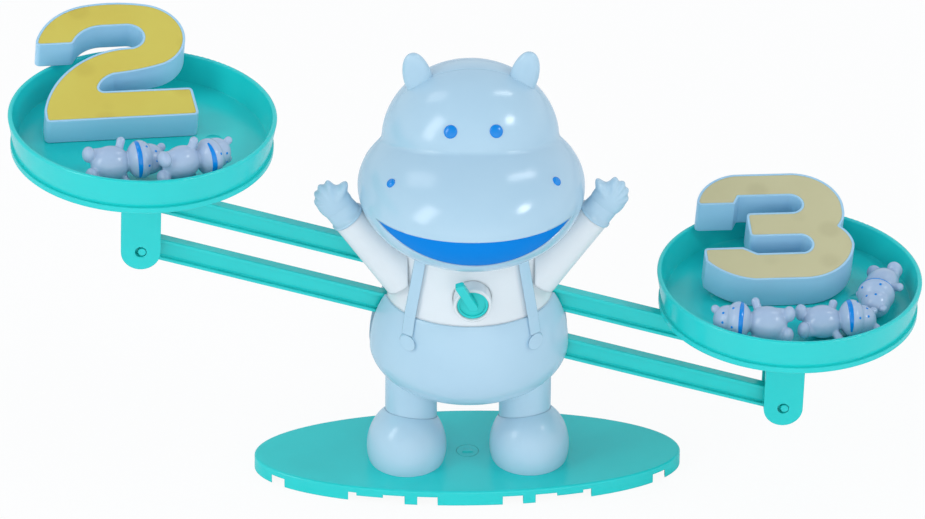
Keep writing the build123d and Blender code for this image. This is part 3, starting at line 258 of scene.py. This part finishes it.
# Finishes. The figure is glossy pale blue ABS, smoothest on the head, ears and hands. The base, beams and
# pans are turquoise, the shirt and collar off-white with soft-looking edges, and the mouth is duller than
# the bright blue eyes. The weights are satin blue with blotched yellow or sand faces, the counters lilac.
pale_blue = moulded("pale_blue_abs", "BAD8E8", "B0D0E3")
soft_blue = moulded("pale_blue_abs_smooth", "BAD8E8", "B0D0E3", 0.16, 0.012, 0.2)
teal = moulded("turquoise_abs", "24DAD6", "18CECB", 0.22)
white_abs = moulded("off_white_abs", "EAEEF0", "E1E7EA", 0.24, 0.02, 1.4)
bright_blue = moulded("bright_blue_abs", "008CE4", "0083DA", 0.14, edge=0.1)
mouth_blue = moulded("mouth_blue_abs", "0086E0", "007FD8", 0.35, gloss=0.08)
number_blue = moulded("number_blue_abs", "B2DDF5", "A4D3F0", 0.3, 0.02, 0.6)
counter_lilac = moulded("counter_polystyrene", "B4C7DF", "A3BAD6", 0.22, 0.03, 0.25)
yellow_two = moulded("yellow_abs", "DDCF5C", "D6BF4C", 0.4, 0.03, 0.5, 0.55)
yellow_three = moulded("sand_abs", "D2CB9F", "C9C092", 0.4, 0.03, 0.5, 0.55)
steel = moulded("zinc_plated_steel", "C4C6C8", "B4B6B9", 0.3)
steel.node_tree.nodes["Principled BSDF"].inputs["Metallic"].default_value = 1.0
by_slot = {"teal_plastic": teal, "blue_plastic": pale_blue, "counter_plastic": counter_lilac,
           "shirt_plastic": white_abs, "mouth_plastic": bright_blue, "yellow_plastic": yellow_two,
           "plated_steel": steel}
for part in frame["record"]["subparts"]:
    dress(by_slot[part["material_slot"]], part["node"])
dress(number_blue, "number_two", "number_three")
dress(yellow_three, "number_three_face")
dress(mouth_blue, "mouth_insert")
dress(white_abs, "knob_collar")


sides = ((-1, "left"), (1, "right"))


def fan(first, last, count):
    """Evenly spaced angles in radians, from the first to the last, which are given in degrees."""
    return np.linspace(first, last, count) * np.pi / 180


def full_turn(count):
    """Evenly spaced angles in radians round a full turn, without its end."""
    return np.linspace(0, 2 * np.pi, count, endpoint=False)


def solid(name, forms):
    """An object of one or more closed forms given in millimetres, each as its points and faces."""
    made = bmesh.new()
    for points, faces in forms:
        corners = [made.verts.new(point) for point in (np.asarray(points) * MM).tolist()]
        for face in faces:
            made.faces.new([corners[i] for i in face])
    bmesh.ops.recalc_face_normals(made, faces=made.faces)
    mesh = bpy.data.meshes.new(name)
    made.to_mesh(mesh)
    made.free()
    mesh.polygons.foreach_set("use_smooth", [True] * len(mesh.polygons))
    thing = bpy.data.objects.new(name, mesh)
    bpy.context.scene.collection.objects.link(thing)
    return thing


def piece(name, forms, material, body, nodes):
    """A smooth solid of one material that rides on the body and stands for the CAD nodes."""
    thing = solid(name, forms)
    thing.data.materials.append(material)
    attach(thing, body)
    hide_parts(*nodes)
    return thing


def settled(thing):
    """The mesh of an object with its modifiers applied."""
    bpy.context.view_layer.update()
    return bpy.data.meshes.new_from_object(thing.evaluated_get(bpy.context.evaluated_depsgraph_get()))


def ringed(rings, first, last):
    """A closed form of rings with equal counts of points, joined in order, and a point at each end."""
    rings = np.asarray(rings, float)
    rows, count = rings.shape[:2]
    points = np.vstack([np.reshape(first, (1, 3)), rings.reshape(-1, 3), np.reshape(last, (1, 3))])
    end = len(points) - 1
    faces = [(0, 1 + (i + 1) % count, 1 + i) for i in range(count)]
    for row in range(rows - 1):
        low, high = 1 + row * count, 1 + (row + 1) * count
        faces += [(low + i, low + (i + 1) % count, high + (i + 1) % count, high + i) for i in range(count)]
    low = 1 + (rows - 1) * count
    faces += [(end, low + i, low + (i + 1) % count) for i in range(count)]
    return points, faces


def ray_exit(start, ways, centre, half):
    """How far rays from start along unit ways run until they leave the ellipsoid with that centre and those
    half axes: the larger root of a quadratic in the distance."""
    offset = (np.asarray(start) - centre) / half
    slope = ways / half
    a = (slope ** 2).sum(-1)
    b = (slope * offset).sum(-1)
    return (np.sqrt(b ** 2 - a * ((offset ** 2).sum() - 1)) - b) / a


def soft_larger(a, b, width):
    """The larger of two values, with a rounded step where they differ by less than width."""
    near = np.maximum(width - np.abs(a - b), 0) / width
    return np.maximum(a, b) + near ** 2 * width / 4


def cut(thing, tool_forms):
    """Cuts closed forms out of a piece with an exact boolean, then drops the tool."""
    tool = solid("tool", tool_forms)
    boolean = thing.modifiers.new("cut", "BOOLEAN")
    boolean.operation = "DIFFERENCE"
    boolean.solver = "EXACT"
    boolean.object = tool
    result = settled(thing)
    thing.modifiers.clear()
    thing.data = result
    bpy.data.objects.remove(tool)


def slab(outer, inner):
    """A closed form between two grids of points with the same counts, joined along their edges."""
    loop = np.concatenate([outer, inner[::-1]])
    rows, columns = loop.shape[:2]
    faces = [(r * columns + c, r * columns + c + 1, (r + 1) % rows * columns + c + 1,
              (r + 1) % rows * columns + c) for r in range(rows) for c in range(columns - 1)]
    half = rows // 2
    for c in (0, columns - 1):
        faces += [(r * columns + c, (r + 1) * columns + c, (rows - 2 - r) * columns + c,
                   (rows - 1 - r) * columns + c) for r in range(half - 1)]
    return loop.reshape(-1, 3), faces


# Head. Two glossy pale blue shells that meet on an upright seam, a crown over a wide muzzle with a soft
# crease between them. The front shell has the pocket of the mouth, the back one two wells for screws.
seam_y = 4.0
head_centre = np.array((0, seam_y, 147.0))
crown_centre, crown_half = (0, seam_y, 154.9), np.array((36.4, 34.0, 32.6))
muzzle_centre = (0, -8.0, 140.2)
muzzle_front, muzzle_rear = np.array((46.5, 52.5, 27.7)), np.array((46.5, 42.0, 27.7))
crease_width = 1.2
shell_wall = 3.0
seam_lip = ((0.0, 0.35), (0.06, 0.14), (0.3, 0.03), (shell_wall, 0.03))
round_count, front_rings, back_rings, inner_rings = 208, 120, 90, 18
outer_angles, inner_angles = (0.5, 89.2), (86, 4)


def head_radius(ways):
    """The skin's distance from the head's centre: the larger of the crown's and the muzzle's, softened where
    they cross. The muzzle is deeper in front of its middle than behind."""
    ahead = ray_exit(head_centre, ways, muzzle_centre, muzzle_front)
    behind = ray_exit(head_centre, ways, muzzle_centre, muzzle_rear)
    front = head_centre[1] + ahead * ways[..., 1] < muzzle_centre[1]
    return soft_larger(ray_exit(head_centre, ways, crown_centre, crown_half), np.where(front, ahead, behind),
                       crease_width)


def head_shell(facing, rings):
    """One half of the head as a closed shell: rings over the outer skin from the pole to the seam, a
    rounded lip along the seam, and rings back over the inner skin. Facing is -1 for the front. Each step of
    the lip says how far it lies inward from the skin and off the seam."""
    around = full_turn(round_count)
    spread = np.stack([np.cos(around), 0 * around, np.sin(around)], -1)
    pole = np.array((0, facing, 0))

    def over(angles, inset):
        ways = (np.sin(angles)[:, None, None] * spread[None]
                + np.cos(angles)[:, None, None] * pole)
        return head_centre + ways * (head_radius(ways) - inset)[..., None]

    outer = over(fan(*outer_angles, rings), 0)
    rim = over(np.array([np.pi / 2]), 0)[0] - head_centre
    size = np.linalg.norm(rim, axis=-1, keepdims=True)
    lip = [head_centre + rim * (size - inward) / size + pole * off for inward, off in seam_lip]
    inner = over(fan(*inner_angles, inner_rings), shell_wall)
    tip = head_centre + pole * head_radius(pole[None].astype(float))
    return ringed(np.concatenate([outer, np.array(lip), inner]), tip, tip - pole * shell_wall)


head_front = piece("head_front_skin", [head_shell(-1, front_rings)], soft_blue, "stand", ["head_front"])
head_back = piece("head_back_skin", [head_shell(1, back_rings)], soft_blue, "stand", ["head_back"])

# Pocket of the mouth: its outline is two arcs as seen from the front, its floor follows the muzzle.
mouth_half, mouth_corner, mouth_upper, mouth_lower = 39.6, 140.4, 143.0, 130.3
pocket_depth, pocket_gap, pocket_reach = 2.15, 0.15, 70.0
pocket_rows, pocket_columns = 15, 81
corner_share = 0.9995


def arc_height(x, half, corner, middle):
    """The height at x of the circle's arc through both corners and the middle."""
    rise = middle - corner
    radius = (half ** 2 + rise ** 2) / (2 * abs(rise))
    return middle - math.copysign(1, rise) * (radius - np.sqrt(radius ** 2 - x ** 2))


pocket_half = mouth_half + pocket_gap
across = np.sin(np.linspace(-1, 1, pocket_columns) * np.pi / 2) * pocket_half * corner_share
upper = arc_height(across, pocket_half, mouth_corner, mouth_upper + pocket_gap)
lower = arc_height(across, pocket_half, mouth_corner, mouth_lower - pocket_gap)
share = np.linspace(0, 1, pocket_rows)[:, None]
xs = np.broadcast_to(across, (pocket_rows, pocket_columns))
zs = lower + (upper - lower) * share
inset = muzzle_front - pocket_depth
forward_share = np.sqrt(1 - (xs / inset[0]) ** 2 - ((zs - muzzle_centre[2]) / inset[2]) ** 2)
floor = np.stack([xs, muzzle_centre[1] - inset[1] * forward_share, zs], -1)
cut(head_front, [slab(floor, floor * (1, 0, 1) - (0, pocket_reach, 0))])


def lathe(profile, origin, axis, count=40):
    """A closed solid turned about an axis from a profile of (radius, height) pairs, which starts and ends
    on the axis."""
    axis = np.asarray(axis, float) / np.linalg.norm(axis)
    side = np.cross(axis, (0, 0, 1) if abs(axis[2]) < 0.9 else (1, 0, 0))
    side /= np.linalg.norm(side)
    other = np.cross(axis, side)
    around = full_turn(count)[:, None]
    spread = np.cos(around) * side + np.sin(around) * other
    rings = [np.asarray(origin) + spread * radius + axis * height for radius, height in profile if radius > 0]
    first, last = (np.asarray(origin) + axis * profile[end][1] for end in (0, -1))
    return ringed(rings, first, last)


# Screw wells. Two round wells in the back shell, one over each of the head's screws.
well_spread, well_height, well_start, well_radius, well_length = 26.0, 130.55, 13.0, 3.15, 60
well_profile = [(0, 0), (well_radius, 0), (well_radius, well_length), (0, well_length)]
cut(head_back, [lathe(well_profile, (x, well_start, well_height), (0, 1, 0))
                for x in (-well_spread, well_spread)])


def dome(radius, rise, sink, steps=9):
    """The profile of a low dome: a straight side sunk in what carries it, then a round top."""
    turn = np.linspace(0, np.pi / 2, steps)
    top = [(radius * math.cos(a), rise * math.sin(a)) for a in turn[:-1]]
    return [(0, -sink), (radius, -sink)] + top + [(0, rise)]


def on_skin(centre, half, x, z):
    """The point on the front of an ellipsoid at x, z and the outward normal there."""
    share = np.array(((x - centre[0]) / half[0], 0, (z - centre[2]) / half[2]))
    share[1] = -math.sqrt(1 - share[0] ** 2 - share[2] ** 2)
    return np.array(centre) + share * half, share / half


# Eyes and nostrils. Glossy bright blue domes pressed into the front shell. Each has the form that carries
# it, its distance from the middle, its height, and its dome's radius, rise and sink.
spots = {"eye": (crown_centre, crown_half, 9.3, 173.4, (2.8, 1.0, 0.9)),
         "nostril": (muzzle_centre, muzzle_front, 33.6, 154.8, (2.0, 1.2, 0.9))}
for side, hand in sides:
    for name, (centre, half, off_middle, level, shape) in spots.items():
        point, normal = on_skin(centre, half, side * off_middle, level)
        piece(f"{hand}_{name}_dome", [lathe(dome(*shape), point, normal)], bright_blue, "stand",
              [f"{hand}_{name}"])


def turned(points, axis, degrees):
    """Points turned about a coordinate axis through the origin."""
    angle = math.radians(degrees)
    c, s = math.cos(angle), math.sin(angle)
    first, second = {"x": (1, 2), "y": (2, 0), "z": (0, 1)}[axis]
    out = np.array(points, float)
    out[..., first] = c * points[..., first] - s * points[..., second]
    out[..., second] = s * points[..., first] + c * points[..., second]
    return out


# Ears. Small rounded flaps that lean outwards, wide where they meet the crown, flatter in front and
# slightly hollowed there.
ear_half = np.array((5.9, 4.4, 10.5))
ear_spread, ear_back, ear_height, ear_lean = 21.9, 5.0, 184.1, 14.0
ear_angles, ear_rows, ear_columns = (-88, 88), 45, 56
ear_upper_power, ear_lower_power, ear_narrowing_share = 0.86, 0.3, 0.1
ear_front_share, ear_hollow, ear_hollow_width = 0.72, 0.9, 3.2
ear_hollow_level_share, ear_hollow_height_share = 0.15, 0.5
for side, hand in sides:
    up_angle = fan(*ear_angles, ear_rows)[:, None]
    around = full_turn(ear_columns)[None]
    level = np.sin(up_angle) + 0 * around
    wide = np.cos(up_angle) ** np.where(level > 0, ear_upper_power, ear_lower_power)
    x = wide * np.cos(around) * ear_half[0] * (1.0 - ear_narrowing_share * np.clip(level, 0, 1))
    y = wide * np.sin(around) * ear_half[1]
    hollow = ear_hollow * np.exp(-((level - ear_hollow_level_share) / ear_hollow_height_share) ** 2
                                 - (x / ear_hollow_width) ** 2)
    y = np.where(y < 0, y * ear_front_share + hollow, y)
    flap = np.stack([x, y, level * ear_half[2]], -1)
    top = np.array((0, 0, ear_half[2]))
    place = np.array((side * ear_spread, ear_back, ear_height))
    rings, low, high = (turned(points, "y", side * ear_lean) + place for points in (flap, -top, top))
    piece(f"{hand}_ear_flap", [ringed(rings, low, high)], soft_blue, "stand", [f"{hand}_ear"])

# Hands. Chubby open mittens with four short pointed fingers and a thumb, moulded in one with a flange at
# the cuff. A hand's skin is star-shaped about its palm, and each finger is a ridge on it, with its angle
# towards the thumb, its rise and its width. The wrist's profile has radii and heights over the cuff.
shoulder_spread, shoulder_height, cuff_spread, cuff_height, arm_forward = 27.0, 97.5, 50.2, 127.0, 11.6
palm_half = np.array((7.2, 4.6, 8.6))
palm_offset = 9.4
palm_angles, palm_rows, palm_columns, wrist_columns = (1.2, 178.8), 96, 192, 64
fingers = [(22.0, 2.2, 10.0), (-1.0, 1.7, 9.0), (-23.0, 1.1, 9.0), (-50.0, 0.6, 10.0), (66.0, 3.3, 12.0)]
wrist_radius, wrist_start, wrist_run, wrist_flat = 6.7, 1.5, 6.5, 0.42
wrist_profile = [(0, -5.8), (4.4, -5.8), (4.4, 0.02), (7.2, 0.05), (7.4, 0.3), (7.4, 1.1), (7.1, 1.38),
                 (wrist_radius, wrist_start), (wrist_radius, 4.0), (wrist_radius, 6.5),
                 (wrist_radius - 0.2, 8.0), (wrist_radius - 1.6, 9.0), (0, 9.2)]


def finger_ridge(ways, angle, rise, width):
    """How far a finger lifts the palm's skin: a peak at the finger's angle in the palm's plane, with that
    rise and width in degrees, falling to nothing towards the palm's two faces."""
    away = np.degrees(np.arctan2(ways[..., 0], ways[..., 2])) - angle
    away = (away + 180) % 360 - 180
    return rise * np.exp(-(away / width) ** 2) * (1 - ways[..., 1] ** 2) ** 3


for side, hand in sides:
    shoulder = np.array((side * shoulder_spread, -arm_forward, shoulder_height))
    cuff = np.array((side * cuff_spread, -arm_forward, cuff_height))
    arm = (cuff - shoulder) / np.linalg.norm(cuff - shoulder)
    thumb_side = np.array((-side * arm[2], 0, side * arm[0]))
    depth = np.cross(arm, thumb_side)
    polar = fan(*palm_angles, palm_rows)[:, None]
    around = full_turn(palm_columns)[None]
    ways = np.stack([np.sin(polar) * np.cos(around), np.cos(polar) + 0 * around,
                     np.sin(polar) * np.sin(around)], -1)
    reach = ray_exit((0, 0, 0), ways, (0, 0, 0), palm_half)
    reach = reach + sum(finger_ridge(ways, *finger) for finger in fingers)
    local = ways * reach[..., None]
    palm = cuff + arm * palm_offset
    skin = palm + local[..., :1] * thumb_side + local[..., 1:2] * depth + local[..., 2:] * arm
    poles = [palm + sign * depth * palm_half[1] for sign in (1, -1)]
    points, faces = lathe(wrist_profile, cuff, arm, wrist_columns)
    flat = wrist_flat * np.clip(((points - cuff) @ arm - wrist_start) / wrist_run, 0, 1)
    points = points - ((points - cuff) @ depth * flat)[:, None] * depth
    piece(f"{hand}_mitten", [ringed(skin, *poles), (points, faces)], soft_blue, "stand", [f"{hand}_hand"])

# Counters. Five small hippos of lilac plastic lie in the pans, moulded in one, with a printed mouth and
# dots for eyes and nostrils. Their forms melt into each other as on a small moulding. Each counter has its
# place as shares of the pan's base radius, its turn on the pan's floor and its roll about its own axis.
pan_pins = {"left": (-134.807, 0, 132.144), "right": (131.607, 0, 52.723)}
pan_lean = 1.4
pan_base_radius, pan_floor_level, counter_lift = 52.6, 26.8, 0.3
counters = {
    "left_first_mini": (-0.204, -0.665, -76.0, 50.0),
    "left_second_mini": (0.335, -0.698, -60.0, 90.0),
    "right_first_mini": (-0.266, -0.665, 82.0, -50.0),
    "right_second_mini": (0.266, -0.57, -84.0, 25.0),
    "right_third_mini": (0.722, -0.038, 166.0, 20.0),
}
counter_crown, counter_crown_half = np.array((0, 0, 27.2)), np.array((6.3, 6.0, 6.4))
counter_muzzle, counter_muzzle_half = np.array((0, -1.6, 23.2)), np.array((7.9, 7.6, 5.6))
counter_belly, counter_belly_half = np.array((0, 0, 11.2)), np.array((7.2, 6.2, 8.2))
counter_ear, counter_ear_half = np.array((4.2, 0, 33.0)), np.array((1.8, 1.5, 1.8))
counter_shoe, counter_shoe_half = np.array((4.4, -0.9, 2.6)), np.array((3.3, 3.8, 2.6))
counter_ankle, counter_hip, counter_leg_radius = np.array((4.4, 0, 3.0)), np.array((4.4, 0, 11.0)), 2.4
counter_chest, counter_hand, counter_arm_radius = np.array((0, 0, 13.4)), np.array((8.6, 0, 16.8)), 1.7
counter_hand_half = np.array((1.8, 1.8, 1.8))
counter_middle = counter_crown[2] / 2
counter_voxel, counter_smoothing, counter_smooth_rounds = 0.36, 0.5, 4
egg_angles, small_egg_count = (4, 176), 20
limb_angles, limb_rings, limb_columns = (5, 90), 6, 24


def egg(centre, half, count=40):
    """An ellipsoid as rings, to be melted into a form."""
    polar = fan(*egg_angles, count)[:, None]
    around = full_turn(2 * count)[None]
    rings = np.stack([np.sin(polar) * np.cos(around), np.sin(polar) * np.sin(around),
                      np.cos(polar) + 0 * around], -1) * half + centre
    return ringed(rings, np.array(centre) + (0, 0, half[2]), np.array(centre) - (0, 0, half[2]))


def limb(start, end, radius):
    """A round bar with dome ends from start to end."""
    run = np.subtract(end, start).astype(float)
    length = np.linalg.norm(run)
    turn = fan(*limb_angles, limb_rings)
    low = [(radius * math.sin(a), -radius * math.cos(a)) for a in turn]
    high = [(radius * math.sin(a), length + radius * math.cos(a)) for a in turn[::-1]]
    return lathe([(0, -radius)] + low + high + [(0, length + radius)], start, run, limb_columns)


muzzle_sink = 0.05
forms = [egg(counter_belly, counter_belly_half), egg(counter_crown, counter_crown_half),
         egg(counter_muzzle, counter_muzzle_half - muzzle_sink)]
for side in (-1, 1):
    mirror = (side, 1, 1)
    forms += [egg(counter_ear * mirror, counter_ear_half, small_egg_count),
              limb(counter_ankle * mirror, counter_hip * mirror, counter_leg_radius),
              egg(counter_shoe * mirror, counter_shoe_half, small_egg_count),
              limb(counter_chest, counter_hand * mirror, counter_arm_radius),
              egg(counter_hand * mirror, counter_hand_half, small_egg_count)]
blank = solid("counter_blank", forms)
melt = blank.modifiers.new("melt", "REMESH")
melt.mode = "VOXEL"
melt.voxel_size = counter_voxel * MM
soften = blank.modifiers.new("soften", "SMOOTH")
soften.factor, soften.iterations = counter_smoothing, counter_smooth_rounds
skin_mesh = settled(blank)
bpy.data.objects.remove(blank)
skin = np.empty(len(skin_mesh.vertices) * 3)
skin_mesh.vertices.foreach_get("co", skin)
skin = skin.reshape(-1, 3) / MM
skin_faces = [tuple(face.vertices) for face in skin_mesh.polygons]
raw = np.vstack([points for points, faces in forms])

# The printed mouth is a band round the front of the muzzle, thin at its ends, with four dots above. Each
# pair of dots has its distance from the middle, its height and the form that carries it.
band_angles, band_rows, band_columns = (-82, 82), 9, 61
band_drop, band_half, band_depth = 1.4, 0.95, 0.4
band_closing_angle, band_end_share = 1.5, 0.02
dot_shape, dot_columns = (0.55, 0.14, 0.3, 5), 16
dots = ((2.0, 29.4, counter_crown, counter_crown_half), (4.0, 25.4, counter_muzzle, counter_muzzle_half))
turns = fan(*band_angles, band_columns)
width = band_half * np.sqrt(np.clip(1 - (turns / band_closing_angle) ** 2, band_end_share, 1))
levels = -band_drop + np.linspace(-1, 1, band_rows)[:, None] * width
wide = np.sqrt(1 - (levels / counter_muzzle_half[2]) ** 2)
band = np.stack([np.sin(turns) * wide, -np.cos(turns) * wide, levels / counter_muzzle_half[2]], -1)
marks = [slab(counter_muzzle + band * counter_muzzle_half,
              counter_muzzle + band * (counter_muzzle_half - band_depth))]
for x, z, centre, half in dots:
    for side in (-1, 1):
        marks.append(lathe(dome(*dot_shape), *on_skin(centre, half, side * x, z), dot_columns))


def carried(points, hand):
    """Points given in a pan's own frame, leaned and moved to that pan's pin."""
    return turned(points, "y", pan_lean) + pan_pins[hand]


def laid(points, name):
    """Points of a standing counter, laid down on its back in its pan: turned about its own axis by the roll,
    tipped back, turned on the floor, put at its place, then leaned and carried with the pan."""
    x_share, y_share, head_turn, roll = counters[name]

    def tip(some):
        return turned(turned(turned(some - (0, 0, counter_middle), "z", roll), "x", -90), "z", head_turn)

    low = tip(raw)[:, 2].min()
    spot = (pan_base_radius * x_share, pan_base_radius * y_share, pan_floor_level + counter_lift - low)
    return carried(tip(points) + spot, name.split("_")[0])


for name in counters:
    piece(f"{name}_skin", [(laid(skin, name), skin_faces)], counter_lilac, name, [name])
    piece(f"{name}_print", [(laid(points, name), faces) for points, faces in marks], bright_blue, name,
          [f"{name}_mouth"])

# Screw caps. Thin turquoise discs pressed over the steel screws in the pans' floors, so that the floors
# look smooth, as in the photograph.
cap_spread, cap_radius, cap_rise, cap_sink, cap_round = 29.0, 3.35, 0.1, 0.35, 0.06
cap_profile = [(0, -cap_sink), (cap_radius, -cap_sink), (cap_radius, cap_rise - cap_round),
               (cap_radius - cap_round, cap_rise), (0, cap_rise)]
for hand in pan_pins:
    caps = [lathe(cap_profile, (x, 0, pan_floor_level), (0, 0, 1)) for x in (-cap_spread, cap_spread)]
    placed = [(carried(points, hand), faces) for points, faces in caps]
    piece(f"{hand}_screw_caps", placed, teal, f"{hand}_pan", [])

low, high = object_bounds()
